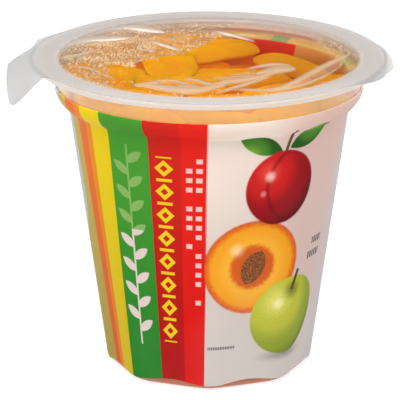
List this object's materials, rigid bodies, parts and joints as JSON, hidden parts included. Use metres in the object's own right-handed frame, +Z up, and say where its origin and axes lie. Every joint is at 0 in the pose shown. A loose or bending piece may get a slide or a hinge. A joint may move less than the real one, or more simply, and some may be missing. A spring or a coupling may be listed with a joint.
{
  "type": "fruit cup",
  "caption": "Sealed clear plastic cup of peach slices in syrup, with a flange, a peel-off film lid with a pull tab, and a printed sleeve on a body that turns faceted towards its base.",
  "frame": {"origin": "centre of the underside of the base, on the surface that the cup stands on", "axes": "+Z up along the cup's axis, -Y towards the front of the sleeve, -X towards the film's pull tab"},
  "size_m": [0.095, 0.086, 0.0785],
  "materials": {
    "clear_cup": "clear thin moulded plastic, slightly frosted at the flange and glossy on the walls",
    "printed_sleeve": null,
    "clear_film": "clear sealing film, frosted where it is welded to the flange, lightly wrinkled, with soft highlights",
    "peach": "wet yellow-orange peach flesh, slightly translucent, darker amber in the gaps",
    "syrup": "clear pale amber syrup with fine bubbles at its surface"
  },
  "bodies": {
    "root": {"cup": "clear_cup", "label": "printed_sleeve", "film_lid": "clear_film", "fruit_heap": "peach"}
  },
  "joints": []
}
